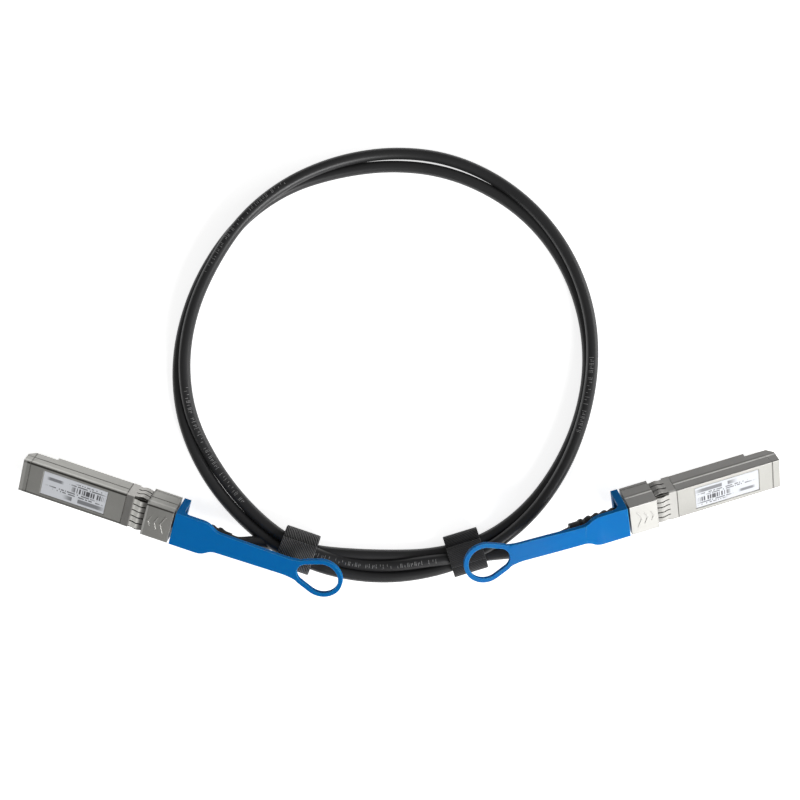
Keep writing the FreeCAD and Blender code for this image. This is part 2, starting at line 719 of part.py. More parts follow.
def cable_coil():
    """Outer shape of the turns that lie together on the table."""
    outer = COIL_OUTER_RADIUS
    inner = outer - COIL_WIDTH
    cut = COIL_CHAMFER
    low, high = 0, COIL_HEIGHT
    section = [(outer - cut, low), (outer, low + cut), (outer, high - cut), (outer - cut, high)]
    section += [(inner + cut, high), (inner, high - cut), (inner, low + cut), (inner + cut, low)]
    x, y = COIL_CENTRE
    corners = [Vector(x + radius, y, z) for radius, z in section]
    face = Part.Face(Part.makePolygon(corners + corners[:1]))
    return face.revolve(Vector(x, y, 0), Vector(0, 0, 1), 360)


def cable_tie(side):
    """Strap wrapped once round the bundle, with its free end lapped on top."""
    spot = TIES[side]
    centre, outward, along = ring_frame(spot["angle"], spot["out"])
    start = centre - along * (TIE_WIDTH / 2)
    top = 2 * TIE_SHEET + spot["height"]
    outer = Part.Face(rounded_section(spot["reach"] + 2 * TIE_SHEET, 0, top, TIE_ROUND, start, outward))
    corner = TIE_ROUND - TIE_SHEET * 0.8
    inner = Part.Face(rounded_section(spot["reach"], TIE_SHEET, top - TIE_SHEET, corner, start, outward))
    band = outer.extrude(along * TIE_WIDTH).cut(inner.extrude(along * TIE_WIDTH))
    flap = Part.makeBox(TIE_TAIL, TIE_WIDTH, 2 * TIE_SHEET)
    turn = FreeCAD.Rotation(outward, along, Vector(0, 0, 1), "ZXY")
    corner = start - outward * (TIE_TAIL / 2) + Vector(0, 0, top - TIE_SHEET)
    flap.Placement = FreeCAD.Placement(corner, turn)
    return band.fuse(flap).removeSplitter()


def tube(points, diameter):
    """Round tube along straight runs joined by arcs as large as the runs allow."""
    edges = []
    radii = []
    last = points[0]
    for before, corner, after in zip(points, points[1:], points[2:]):
        into = corner - before
        out = after - corner
        reach = 0.45 * min(into.Length, out.Length)
        turn = into.getAngle(out)
        radius = reach / math.tan(turn / 2)
        radii.append(radius)
        start = corner - into.normalize() * reach
        end = corner + out.normalize() * reach
        bisector = (start + end) * 0.5 - corner
        middle = corner + bisector.normalize() * (math.hypot(radius, reach) - radius)
        edges.append(Part.LineSegment(last, start).toShape())
        edges.append(Part.Arc(start, middle, end).toShape())
        last = end
    edges.append(Part.LineSegment(last, points[-1]).toShape())
    path = Part.Wire(edges)
    direction = points[1] - points[0]
    circle = Part.Wire(Part.makeCircle(diameter / 2, points[0], direction))
    solid = path.makePipeShell([circle], True, True, 2)
    length = path.Length
    section = math.pi * diameter**2 / 4
    print("tube: length", round(length, 1), "least radius", round(min(radii), 1))
    print("  volume over section times length", round(solid.Volume / (section * length), 4))
    return solid


def cable_tail(side, placement):
    end = placement.multVec(Vector(BOOT_END, 0, SPLIT_HEIGHT))
    print(side, "boot end", [round(value, 2) for value in end], "nose", [round(v, 3) for v in placement.Base])
    lead = placement.multVec(Vector(BOOT_END + TAIL_LEAD[side], 0, SPLIT_HEIGHT))
    points = [end, lead] + [Vector(*point) for point in TAIL_POINTS[side]]
    return tube(points, CABLE_DIAMETER)


def build():
    shapes = {}
    plain = {name: make() for name, make in PLUG_PIECES.items()}
    for side in PLUGS:
        placement = plug_placement(side, [plain["lower_shell"], plain["upper_shell"], plain["pull_tab"]])
        for name, shape in plain.items():
            shapes[side + "_" + name] = placed(shape, placement)
        shapes[side + "_cable_tail"] = cable_tail(side, placement)
    ties = {side: cable_tie(side) for side in TIES}
    coil = cable_coil().cut(list(ties.values()))
    shapes["cable_coil"] = coil
    for side, tie in ties.items():
        shapes[side + "_cable_tie"] = tie
        shapes[side + "_cable_tail"] = shapes[side + "_cable_tail"].cut([coil, tie])
    return shapes


def main():
    os.makedirs("parts", exist_ok=True)
    shapes = build()
    reach = FreeCAD.BoundBox()
    for name, shape in shapes.items():
        shape.exportStep("parts/" + name + ".step")
        if not name.endswith(("cable_tail", "cable_tie", "cable_coil")):
            reach.add(shape.BoundBox)
        print(name, "solids", len(shape.Solids), "valid", shape.isValid(), "volume", round(shape.Volume, 2))
    for axis in "XYZ":
        ends = [getattr(reach, axis + "Min"), getattr(reach, axis + "Max")]
        print("plugs reach", axis, [round(value, 2) for value in ends])


main()
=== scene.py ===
import bpy
import json
import math
from mathutils import Matrix, Vector


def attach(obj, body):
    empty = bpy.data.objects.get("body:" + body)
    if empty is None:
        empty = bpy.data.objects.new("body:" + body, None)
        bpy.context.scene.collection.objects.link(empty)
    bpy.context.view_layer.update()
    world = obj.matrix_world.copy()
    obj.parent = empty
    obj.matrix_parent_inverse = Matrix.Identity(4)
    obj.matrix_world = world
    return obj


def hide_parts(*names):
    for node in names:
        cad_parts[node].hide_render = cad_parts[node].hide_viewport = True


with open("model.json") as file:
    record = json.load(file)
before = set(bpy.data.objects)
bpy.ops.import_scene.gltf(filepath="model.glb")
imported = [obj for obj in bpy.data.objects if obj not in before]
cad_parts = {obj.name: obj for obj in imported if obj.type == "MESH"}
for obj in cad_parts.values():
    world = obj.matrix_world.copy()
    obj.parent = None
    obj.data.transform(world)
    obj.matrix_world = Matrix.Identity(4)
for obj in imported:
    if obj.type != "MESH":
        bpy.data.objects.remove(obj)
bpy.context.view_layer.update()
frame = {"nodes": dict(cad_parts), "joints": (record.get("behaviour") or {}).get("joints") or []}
nodes = frame["nodes"]
joints = {joint["name"]: joint for joint in frame["joints"]}
mm = 0.001
sides = ("left", "right")
mergeGap = 0.00001
seamGap = 0.000001
print("frame loaded:", len(nodes), "nodes")

# camera straight above the cable, and soft studio light that comes mostly from the right; the camera's place
# and the visible width are in millimetres, all else is in metres
studio = {
    "cameraPlace": (0.81, 44.76, 600.0),
    "nearest": 0.01,
    "furthest": 20.0,
    "visibleWidth": 295.6,
    "sensor": 36.0,
    "white": (1.0, 1.0, 1.0, 1.0),
    "floorSize": 4.0,
    "floorDrop": 0.0002,
    "floorGlow": 0.75,
    "worldStrength": 0.22,
    "aim": (0.0, 0.04, 0.0),
    "keyPower": 12.6,
    "keyPlace": (0.69, -0.80, 0.66),
    "keySize": 0.5,
    "fillPower": 5.0,
    "fillPlace": (1.05, 0.28, 0.28),
    "fillSize": 0.7,
}

# cable: round jacket from the left boot through two turns and a pass along the front to the right boot; the
# ring's outer line is a circle with waves, each by its count, size and turn
cable = {
    "diameter": 4.4,
    "insideBoot": 3.0,
    "straightLead": 3.0,
    "roundness": 6,
    "smoothness": 8,
    "leftPoints": [(-51.5, -6.9, 6.2), (-42.5, -8.8, 3.2), (-33.0, -10.2, 2.3)],
    "rightPoints": [(28.5, -12.7, 3.2), (36.5, -11.6, 5.3), (44.4, -10.6, 8.4), (52.5, -8.0, 11.6)],
    "centre": (-4.18, 57.32),
    "radius": 76.72,
    "waves": [(1, 0.24, 84.0), (2, 1.71, 63.7), (3, 0.75, 58.4), (4, 0.16, 10.8), (6, 0.24, 12.3)],
    "pointsPerTurn": 24,
}

# where each turn lies: angle in degrees, distance inside the ring's outer line, height of its centre
turnPath = [
    (254, 6.6, 2.2), (262, 8.1, 2.2), (270, 8.3, 2.2), (280, 7.0, 2.2), (288, 5.4, 2.2), (300, 3.5, 2.2),
    (320, 2.0, 2.2), (340, 1.0, 2.2), (350, 0.6, 2.2), (360, 0.85, 2.2), (380, 1.9, 2.2), (400, 2.8, 2.2),
    (420, 4.4, 2.2), (432, 5.0, 2.2), (450, 4.8, 2.2), (460, 4.0, 2.2), (472, 2.3, 2.2), (482, 0.8, 2.2),
    (492, 0.0, 2.2), (570, 0.0, 2.2), (584, 0.0, 3.4), (596, 0.0, 6.6), (606, 0.0, 6.2), (616, 0.0, 2.6),
    (630, 0.0, 2.2), (650, 0.0, 2.2), (660, 0.0, 4.9), (670, 0.0, 5.8), (690, 0.0, 6.4), (705, 0.0, 6.6),
    (720, 0.0, 6.5), (740, 0.0, 6.2), (760, 0.0, 5.6), (770, 0.0, 4.9), (780, 0.0, 2.4), (812, 0.0, 2.2),
    (820, 0.0, 4.1), (830, 0.0, 5.8), (840, 0.0, 6.5), (850, 0.0, 6.6), (860, 1.2, 6.5), (870, 1.7, 6.3),
    (890, 2.0, 6.2), (900, 2.6, 5.8), (910, 3.2, 5.3), (920, 3.9, 4.3), (930, 4.5, 2.3), (942, 4.5, 3.2),
    (954, 4.2, 6.4), (964, 4.0, 6.2), (974, 4.1, 3.0), (988, 4.1, 2.8), (1000, 4.3, 5.0), (1008, 4.6, 5.2),
]


def useMaterial(mesh, material):
    mesh.materials.clear()
    mesh.materials.append(material)
    for polygon in mesh.polygons:
        polygon.material_index = 0


def deselectAll():
    if bpy.context.object and bpy.context.object.mode != "OBJECT":
        bpy.ops.object.mode_set(mode="OBJECT")
    bpy.ops.object.select_all(action="DESELECT")


def makeActive(piece):
    deselectAll()
    piece.select_set(True)
    bpy.context.view_layer.objects.active = piece


# the plug's own frame comes from its two joints: x back from the nose, y across, z out of the label
def plugFrame(side):
    slide = joints[side + "_tab_slide"]
    turn = joints[side + "_latch_turn"]
    alongX = Vector(slide["axis"]).normalized()
    acrossY = Vector(turn["axis"]).normalized()
    outZ = alongX.cross(acrossY).normalized()
    pivot = Vector(turn["pos_m"])
    base = pivot - alongX * plug["pivotX"] * mm - outZ * plug["pivotZ"] * mm
    return Matrix((
        (alongX.x, acrossY.x, outZ.x, base.x),
        (alongX.y, acrossY.y, outZ.y, base.y),
        (alongX.z, acrossY.z, outZ.z, base.z),
        (0.0, 0.0, 0.0, 1.0),
    ))


# places on a plug in its own frame, in millimetres
plug = {
    "pivotX": 48.95, "pivotZ": 0.35, "axisHeight": 4.75, "bootEnd": 79.3, "headEnd": 57.8, "headTop": 10.1,
    "tabThick": 1.5,
}
frames = {side: plugFrame(side) for side in sides}


def onPlug(side, x, y, z):
    return frames[side] @ Vector((x * mm, y * mm, z * mm))


# the boot and the cable in it give way to one side behind the tab's yoke, by this much at the boot's end
bootSag = {"start": 66.0, "left": -0.4, "right": 1.6}


def sagAt(side, x):
    share = max(0.0, (x - bootSag["start"]) / (plug["bootEnd"] - bootSag["start"]))
    return bootSag[side] * share * share


def onAxis(side, x):
    return onPlug(side, x, sagAt(side, x), plug["axisHeight"])


# shader building: a node with its settings and unlinked values, and a link by names
def addNode(tree, kind, settings=None, values=None):
    node = tree.nodes.new("ShaderNode" + kind)
    for name, value in (settings or {}).items():
        setattr(node, name, value)
    for name, value in (values or {}).items():
        node.inputs[name].default_value = value
    return node


def link(tree, source, output, target, entry):
    tree.links.new(source.outputs[output], target.inputs[entry])


def setCamera():
    place = [value * mm for value in studio["cameraPlace"]]
    bpy.ops.object.camera_add(location=place, rotation=(0, 0, 0))
    camera = bpy.context.object
    camera.name = "camera"
    camera.data.sensor_width = studio["sensor"]
    camera.data.lens = studio["sensor"] * studio["cameraPlace"][2] / studio["visibleWidth"]
    camera.data.clip_start = studio["nearest"]
    camera.data.clip_end = studio["furthest"]
    bpy.context.scene.camera = camera


def setLamps():
    for name in ("key", "fill"):
        place = Vector(studio[name + "Place"])
        bpy.ops.object.light_add(type="AREA", location=place)
        lamp = bpy.context.object
        lamp.name = name + "Light"
        lamp.data.energy = studio[name + "Power"]
        lamp.data.size = studio[name + "Size"]
        lamp.rotation_euler = (Vector(studio["aim"]) - place).to_track_quat("-Z", "Y").to_euler()


# the world lights the object softly, and the camera sees it plain white
def setWorld():
    world = bpy.data.worlds.new("studioWorld")
    bpy.context.scene.world = world
    world.use_nodes = True
    tree = world.node_tree
    tree.nodes.clear()
    output = addNode(tree, "OutputWorld")
    sky = addNode(tree, "Background", values={"Color": studio["white"], "Strength": studio["worldStrength"]})
    seen = addNode(tree, "Background", values={"Color": studio["white"], "Strength": 1.0})
    path = addNode(tree, "LightPath")
    mix = addNode(tree, "MixShader")
    link(tree, path, "Is Camera Ray", mix, "Fac")
    link(tree, sky, 0, mix, 1)
    link(tree, seen, 0, mix, 2)
    link(tree, mix, 0, output, 0)


# white floor that keeps the object's shadow, and glows for the camera and in gloss
def floorMaterial():
    material = bpy.data.materials.new("floorWhite")
    material.use_nodes = True
    tree = material.node_tree
    tree.nodes.clear()
    output = addNode(tree, "OutputMaterial")
    matt = addNode(tree, "BsdfDiffuse", values={"Color": studio["white"]})
    glow = addNode(tree, "Emission", values={"Strength": studio["floorGlow"]})
    both = addNode(tree, "AddShader")
    plain = addNode(tree, "MixShader")
    path = addNode(tree, "LightPath")
    most = addNode(tree, "Math", {"operation": "MAXIMUM"})
    link(tree, path, "Is Camera Ray", most, 0)
    link(tree, path, "Is Glossy Ray", most, 1)
    link(tree, matt, 0, both, 0)
    link(tree, glow, 0, both, 1)
    link(tree, most, 0, plain, "Fac")
    link(tree, matt, 0, plain, 1)
    link(tree, both, 0, plain, 2)
    link(tree, plain, 0, output, 0)
    return material


def setStudio():
    setCamera()
    setLamps()
    setWorld()
    bpy.context.scene.view_settings.view_transform = "Standard"
    bpy.ops.mesh.primitive_plane_add(size=studio["floorSize"], location=(0, 0, -studio["floorDrop"]))
    floor = bpy.context.object
    floor.name = "studioFloor"
    floor.data.materials.append(floorMaterial())


def groupNode(tree, group, values=None):
    node = addNode(tree, "Group")
    node.node_tree = group
    for name, value in (values or {}).items():
        node.inputs[name].default_value = value
    return node


# two masks multiplied
def bothMasks(tree, first, firstOutput, second, secondOutput):
    both = addNode(tree, "Math", {"operation": "MULTIPLY"})
    link(tree, first, firstOutput, both, 0)
    link(tree, second, secondOutput, both, 1)
    return both


# a mask times a plain strength
def scaled(tree, mask, output, strength):
    node = addNode(tree, "Math", {"operation": "MULTIPLY"}, {1: strength})
    link(tree, mask, output, node, 0)
    return node


# soft line at a place along one axis
def axisLine(tree, split, axis, place, width):
    line = groupNode(tree, softLine, {"Place": place, "Width": width})
    link(tree, split, axis, line, "Value")
    return line


# number of the cell that a place falls in along one axis
def axisCells(tree, split, axis, count, cells):
    along = scaled(tree, split, axis, count)
    whole = addNode(tree, "Math", {"operation": "FLOOR"})
    link(tree, along, 0, whole, 0)
    link(tree, whole, 0, cells, axis)


# a colour laid over another where the mask shows
def paintOver(tree, mask, maskOutput, under, underOutput, colour):
    mix = addNode(tree, "MixRGB", {"blend_type": "MIX"}, {"Color2": (*colour, 1)})
    link(tree, mask, maskOutput, mix, "Fac")
    link(tree, under, underOutput, mix, "Color1")
    return mix


def newGroup(name, entries, exits):
    group = bpy.data.node_groups.new(name, "ShaderNodeTree")
    for entry, kind, value in entries:
        socket = group.interface.new_socket(entry, in_out="INPUT", socket_type="NodeSocket" + kind)
        if value is not None:
            socket.default_value = value
    for leave, kind in exits:
        group.interface.new_socket(leave, in_out="OUTPUT", socket_type="NodeSocket" + kind)
    start = group.nodes.new("NodeGroupInput")
    end = group.nodes.new("NodeGroupOutput")
    return group, start, end


# how far the roughness follows the grain
roughSpread = 0.16


# fine grain: colour that varies a little, roughness to match and a normal over softly rounded edges
def grainGroup():
    entries = [
        ("Vector", "Vector", None), ("Colour", "Color", (0.5, 0.5, 0.5, 1)), ("Spread", "Float", 0.1),
        ("Rough", "Float", 0.4), ("Scale", "Float", 900.0), ("Relief", "Float", 0.1),
        ("Edge", "Float", 0.0002),
    ]
    exits = [("Colour", "Color"), ("Rough", "Float"), ("Normal", "Vector")]
    group, start, end = newGroup("surfaceGrain", entries, exits)
    fine = addNode(group, "TexNoise", values={"Detail": 5.0, "Roughness": 0.6})
    wide = addNode(group, "TexNoise", values={"Scale": 70.0, "Detail": 3.0})
    both = addNode(group, "Math", {"operation": "ADD"})
    centred = addNode(group, "Math", {"operation": "SUBTRACT"}, {1: 1.0})
    spread = addNode(group, "Math", {"operation": "MULTIPLY"})
    value = addNode(group, "Math", {"operation": "ADD"}, {1: 1.0})
    tint = addNode(group, "HueSaturation")
    roughShift = addNode(group, "Math", {"operation": "MULTIPLY_ADD"}, {1: roughSpread})
    soft = addNode(group, "Bevel", {"samples": 4})
    relief = addNode(group, "Bump", values={"Distance": 0.00008})
    link(group, start, "Vector", fine, "Vector")
    link(group, start, "Scale", fine, "Scale")
    link(group, start, "Vector", wide, "Vector")
    link(group, fine, "Fac", both, 0)
    link(group, wide, "Fac", both, 1)
    link(group, both, 0, centred, 0)
    link(group, centred, 0, spread, 0)
    link(group, start, "Spread", spread, 1)
    link(group, spread, 0, value, 0)
    link(group, start, "Colour", tint, "Color")
    link(group, value, 0, tint, "Value")
    link(group, centred, 0, roughShift, 0)
    link(group, start, "Rough", roughShift, 2)
    link(group, start, "Edge", soft, "Radius")
    link(group, start, "Relief", relief, "Strength")
    link(group, fine, "Fac", relief, "Height")
    link(group, soft, "Normal", relief, "Normal")
    link(group, tint, "Color", end, "Colour")
    link(group, roughShift, 0, end, "Rough")
    link(group, relief, "Normal", end, "Normal")
    return group


# soft mask on a line at Place: 1 out to 0.35 of Width on each side, 0 from 0.65 of Width
def lineGroup():
    entries = [("Value", "Float", 0.0), ("Place", "Float", 0.0), ("Width", "Float", 0.2)]
    group, start, end = newGroup("softLine", entries, [("Mask", "Float")])
    away = addNode(group, "Math", {"operation": "SUBTRACT"})
    size = addNode(group, "Math", {"operation": "ABSOLUTE"})
    share = addNode(group, "Math", {"operation": "DIVIDE"})
    mask = addNode(group, "MapRange", {"interpolation_type": "SMOOTHSTEP"}, {
        "From Min": 0.35, "From Max": 0.65, "To Min": 1.0, "To Max": 0.0,
    })
    link(group, start, "Value", away, 0)
    link(group, start, "Place", away, 1)
    link(group, away, 0, size, 0)
    link(group, size, 0, share, 0)
    link(group, start, "Width", share, 1)
    link(group, share, 0, mask, "Value")
    link(group, mask, "Result", end, "Mask")
    return group


# bright rim where the surface turns a corner: partly wear and partly a painted highlight on the edge
def rimGroup():
    group, start, end = newGroup("wearAndHighlightRim", [("Width", "Float", 0.0003)], [("Mask", "Float")])
    soft = addNode(group, "Bevel", {"samples": 4})
    plain = addNode(group, "NewGeometry")
    agree = addNode(group, "VectorMath", {"operation": "DOT_PRODUCT"})
    mask = addNode(group, "MapRange", values={
        "From Min": 0.995, "From Max": 0.93, "To Min": 0.0, "To Max": 1.0,
    })
    link(group, start, "Width", soft, "Radius")
    link(group, soft, "Normal", agree, 0)
    link(group, plain, "Normal", agree, 1)
    link(group, agree, "Value", mask, "Value")
    link(group, mask, "Result", end, "Mask")
    return group


# printed rows of short marks and a block of upright bars, in millimetres on the label
def printGroup():
    group, start, end = newGroup("labelPrint", [("Vector", "Vector", None)], [("Mask", "Float")])
    split = addNode(group, "SeparateXYZ")
    link(group, start, "Vector", split, 0)
    total = None
    for rows in labelRows:
        cells = addNode(group, "CombineXYZ", values={"Z": rows["y"]})
        axisCells(group, split, "X", rows["marks"], cells)
        axisCells(group, split, "Y", labelSteps, cells)
        dice = addNode(group, "TexWhiteNoise", {"noise_dimensions": "3D"})
        shown = addNode(group, "Math", {"operation": "GREATER_THAN"}, {1: rows["blank"]})
        link(group, cells, 0, dice, "Vector")
        link(group, dice, "Value", shown, 0)
        across = axisLine(group, split, "Y", rows["y"], rows["height"])
        middle = axisLine(group, split, "X", rows["x"], rows["length"])
        printed = bothMasks(group, shown, 0, across, "Mask")
        strong = scaled(group, bothMasks(group, printed, 0, middle, "Mask"), 0, rows["ink"])
        if total:
            most = addNode(group, "Math", {"operation": "MAXIMUM"})
            link(group, total, 0, most, 0)
            link(group, strong, 0, most, 1)
            total = most
        else:
            total = strong
    link(group, total, 0, end, "Mask")
    return group


# rows of the label: middle and length along the plug, place and height across it, marks in a millimetre,
# share left blank and strength of the ink; the steps cut every mark across, and 0 leaves them whole
labelSteps = 0
labelRows = [
    {"x": 24.6, "length": 13.6, "y": -3.1, "height": 1.7, "marks": 0.45, "blank": 0.1, "ink": 0.7},
    {"x": 22.0, "length": 18.0, "y": -1.5, "height": 0.5, "marks": 2.3, "blank": 0.3, "ink": 0.8},
    {"x": 19.5, "length": 17.0, "y": -0.6, "height": 0.5, "marks": 2.6, "blank": 0.3, "ink": 0.8},
    {"x": 25.4, "length": 11.5, "y": 1.1, "height": 2.1, "marks": 3.4, "blank": 0.42, "ink": 0.9},
    {"x": 25.0, "length": 12.5, "y": 2.8, "height": 0.5, "marks": 2.4, "blank": 0.3, "ink": 0.8},
    {"x": 26.0, "length": 10.0, "y": 3.7, "height": 0.45, "marks": 2.2, "blank": 0.35, "ink": 0.75},
    {"x": 12.8, "length": 5.4, "y": 2.4, "height": 1.3, "marks": 0.6, "blank": 0.2, "ink": 0.7},
]


def newMaterial(name):
    material = bpy.data.materials.new(name)
    material.use_nodes = True
    tree = material.node_tree
    return material, tree, tree.nodes["Principled BSDF"]


# coordinates in a plug's own frame, in millimetres
def plugCoordinates(tree, side):
    coords = addNode(tree, "TexCoord")
    place = addNode(tree, "Mapping", {"vector_type": "TEXTURE"})
    place.inputs["Location"].default_value = frames[side].translation
    place.inputs["Rotation"].default_value = frames[side].to_euler()
    place.inputs["Scale"].default_value = (mm, mm, mm)
    link(tree, coords, "Object", place, "Vector")
    return place


# grain on the object's own coordinates, with the usual values where a look gives none
def grainNode(tree, look, colour):
    coords = addNode(tree, "TexCoord")
    grain = groupNode(tree, surfaceGrain, {
        "Colour": (*colour, 1),
        "Spread": look.get("spread", 0.12),
        "Rough": look["rough"],
        "Scale": look.get("scale", 1500.0),
        "Relief": look.get("relief", 0.1),
        "Edge": look.get("edge", 0.0002),
    })
    link(tree, coords, "Object", grain, "Vector")
    return grain


# places on a plug, split into x, y and z in millimetres
def plugSplit(tree, side):
    local = plugCoordinates(tree, side)
    split = addNode(tree, "SeparateXYZ")
    link(tree, local, "Vector", split, 0)
    return split


# pale rim laid over a colour: partly wear and partly a painted highlight on the edge
def paintRim(tree, look, under, output):
    rim = groupNode(tree, wearAndHighlightRim, {"Width": look["rimWidth"]})
    soft = scaled(tree, rim, "Mask", look["rimStrength"])
    return paintOver(tree, soft, 0, under, output, look["rim"])


def linkSurface(tree, shader, grain, colour, output):
    link(tree, colour, output, shader, "Base Color")
    link(tree, grain, "Rough", shader, "Roughness")
    link(tree, grain, "Normal", shader, "Normal")


# surface with grain, and a rim where the look gives one: look holds colour, spread, rough, metal, relief,
# scale and the width of soft edges
def plainSurface(name, look):
    material, tree, shader = newMaterial(name)
    grain = grainNode(tree, look, look["colour"])
    shader.inputs["Metallic"].default_value = look.get("metal", 0.0)
    shader.inputs["Specular IOR Level"].default_value = look.get("shine", 0.5)
    shader.inputs["Subsurface Weight"].default_value = look.get("inside", 0.0)
    shader.inputs["Subsurface Scale"].default_value = insideDepth
    # a rim colour paints a highlight on the rounded edges
    if "rim" in look:
        linkSurface(tree, shader, grain, paintRim(tree, look, grain, "Colour"), "Color")
    else:
        linkSurface(tree, shader, grain, grain, "Colour")
    return material


# cast shell: grain, then the lines of shellLines, which are seams, painted shade and painted highlights, and
# paler rims that are partly wear and partly painted highlight
def shellMaterial(side):
    look = looks["shell"]
    material, tree, shader = newMaterial(side + "ShellMetal")
    split = plugSplit(tree, side)
    grain = grainNode(tree, look, look["colour"])
    colour = grain
    output = "Colour"
    for axis, place, width, windowAxis, windowPlace, windowWidth, strength, paint in shellLines[side]:
        line = axisLine(tree, split, axis, place, width)
        window = axisLine(tree, split, windowAxis, windowPlace, windowWidth)
        both = bothMasks(tree, line, "Mask", window, "Mask")
        colour = paintOver(tree, scaled(tree, both, 0, strength), 0, colour, output, look[paint])
        output = "Color"
    linkSurface(tree, shader, grain, paintRim(tree, look, colour, output), "Color")
    shader.inputs["Metallic"].default_value = look["metal"]
    return material


# spring collar: darker band, and a painted highlight as a bright crest along the bowed fingers on the label's
# side
def collarMaterial(side):
    look = looks["collar"]
    material, tree, shader = newMaterial(side + "CollarSteel")
    split = plugSplit(tree, side)
    grain = grainNode(tree, look, look["colour"][side])
    crest = axisLine(tree, split, "X", *look["crest"][side])
    face = axisLine(tree, split, "Z", look["facePlace"], look["faceWidth"])
    both = bothMasks(tree, crest, "Mask", face, "Mask")
    bright = paintOver(tree, both, 0, grain, "Colour", look["bright"][side])
    metal = addNode(tree, "MapRange", values={"To Min": look["metal"], "To Max": look["brightMetal"]})
    link(tree, both, 0, metal, "Value")
    link(tree, metal, "Result", shader, "Metallic")
    linkSurface(tree, shader, grain, bright, "Color")
    return material


# woven tie: diagonal ribs and fuzz on the strap's own UV, in millimetres along and across it
def weaveGroup():
    exits = [("Height", "Float"), ("Shade", "Float")]
    group, start, end = newGroup("tieWeave", [("Vector", "Vector", None)], exits)
    ribs = addNode(group, "TexWave", {"bands_direction": "DIAGONAL"}, {
        "Scale": 0.62, "Distortion": 0.9, "Detail": 1.0, "Detail Scale": 2.0,
    })
    threads = addNode(group, "TexWave", {"bands_direction": "Y"}, {"Scale": 0.9, "Distortion": 0.4})
    fuzz = addNode(group, "TexNoise", values={"Scale": 3.0, "Detail": 6.0, "Roughness": 0.7})
    cross = addNode(group, "Math", {"operation": "MULTIPLY"})
    shaded = addNode(group, "Math", {"operation": "MULTIPLY_ADD"}, {1: 0.5})
    high = addNode(group, "Math", {"operation": "MULTIPLY_ADD"}, {1: 0.7})
    for texture in (ribs, threads, fuzz):
        link(group, start, "Vector", texture, "Vector")
    link(group, ribs, "Fac", cross, 0)
    link(group, threads, "Fac", cross, 1)
    link(group, ribs, "Fac", high, 0)
    link(group, cross, 0, high, 2)
    link(group, fuzz, "Fac", shaded, 0)
    link(group, ribs, "Fac", shaded, 2)
    link(group, high, 0, end, "Height")
    link(group, shaded, 0, end, "Shade")
    return group


# ribs from low to high in colour, on the strap's own UV; the high colour is paler on the left tie as painted
# light
def tieMaterial(side):
    look = looks["tie"]
    material, tree, shader = newMaterial(side + "TieWoven")
    strap = addNode(tree, "UVMap")
    weave = groupNode(tree, tieWeave)
    ramp = addNode(tree, "MapRange", values={"From Min": 0.3, "From Max": 1.3, "To Min": 0.0, "To Max": 1.0})
    ends = {"Color1": (*look["low"], 1), "Color2": (*look["high"][side], 1)}
    mix = addNode(tree, "MixRGB", {"blend_type": "MIX"}, ends)
    relief = addNode(tree, "Bump", values={"Strength": look["relief"][side], "Distance": look["reliefDepth"]})
    link(tree, strap, "UV", weave, "Vector")
    link(tree, weave, "Shade", ramp, "Value")
    link(tree, ramp, "Result", mix, "Fac")
    link(tree, mix, "Color", shader, "Base Color")
    link(tree, weave, "Height", relief, "Height")
    link(tree, relief, "Normal", shader, "Normal")
    shader.inputs["Roughness"].default_value = look["rough"]
    shader.inputs["Sheen Weight"].default_value = look["sheen"]
    return material


def labelMaterial(side):
    look = looks["label"]
    material, tree, shader = newMaterial(side + "LabelFilm")
    local = plugCoordinates(tree, side)
    grain = grainNode(tree, look, look["colour"])
    ink = groupNode(tree, labelPrint)
    link(tree, local, "Vector", ink, "Vector")
    linkSurface(tree, shader, grain, paintOver(tree, ink, "Mask", grain, "Colour", look["ink"]), "Color")
    return material


# lines painted on each shell in its own frame: axis, place and width of the line, then axis, middle and
# width of the stretch where it shows, strength and colour; the common ones are two seams and painted shade
# under the collar's fingers, and the two sides differ because part of the light on them is painted
commonLines = [
    ("X", 2.7, 0.5, "Z", 5.0, 12.0, 0.6, "seamAndPaintedShade"),
    ("X", 39.3, 0.5, "Z", 5.0, 12.0, 0.75, "seamAndPaintedShade"),
    # painted shade under the collar's fingers
    ("X", 44.9, 5.6, "Z", 8.2, 1.4, 0.9, "seamAndPaintedShade"),
    ("X", 44.9, 5.6, "Y", 6.4, 1.4, 0.9, "seamAndPaintedShade"),
]
shellLines = {
    "left": commonLines + [
        ("Z", 4.79, 0.5, "X", 30.0, 60.0, 0.9, "seamAndPaintedShade"),
        # painted shade as dark lines along the label face's edges, then painted highlights as pale strips on
        # the nose and the head's front
        ("Y", 6.15, 0.75, "Z", 8.5, 0.6, 0.95, "seamAndPaintedShade"),
        ("Y", -6.3, 1.1, "Z", 8.5, 0.6, 0.55, "seamAndPaintedShade"),
        ("X", 0.5, 1.7, "Z", 8.5, 0.9, 0.45, "rim"),
        ("X", 47.9, 0.7, "Z", 10.1, 0.8, 0.6, "rim"),
        # painted shade along the head's edge, then a painted highlight as a pale strip along one side
        ("Y", 6.45, 0.6, "Z", 10.1, 0.6, 0.9, "seamAndPaintedShade"),
        ("Z", 7.6, 0.9, "Y", 6.7, 0.9, 0.35, "rim"),
    ],
    "right": commonLines + [
        ("Y", -6.95, 1.0, "X", 30.0, 90.0, 1.0, "shade"),
        # painted shade under a painted highlight along the parting line, then a painted highlight on the head
        # and painted shade along one edge
        ("Z", 4.2, 0.7, "X", 30.0, 60.0, 0.35, "seamAndPaintedShade"),
        ("Z", 4.85, 0.62, "X", 30.0, 60.0, 1.0, "rim"),
        ("X", 52.6, 17.0, "Z", 10.1, 0.8, 0.35, "rim"),
        ("Y", 6.6, 0.45, "Z", 8.5, 0.6, 0.55, "seamAndPaintedShade"),
    ],
}

# how deep light goes into a surface that lets it in, in metres
insideDepth = 0.002

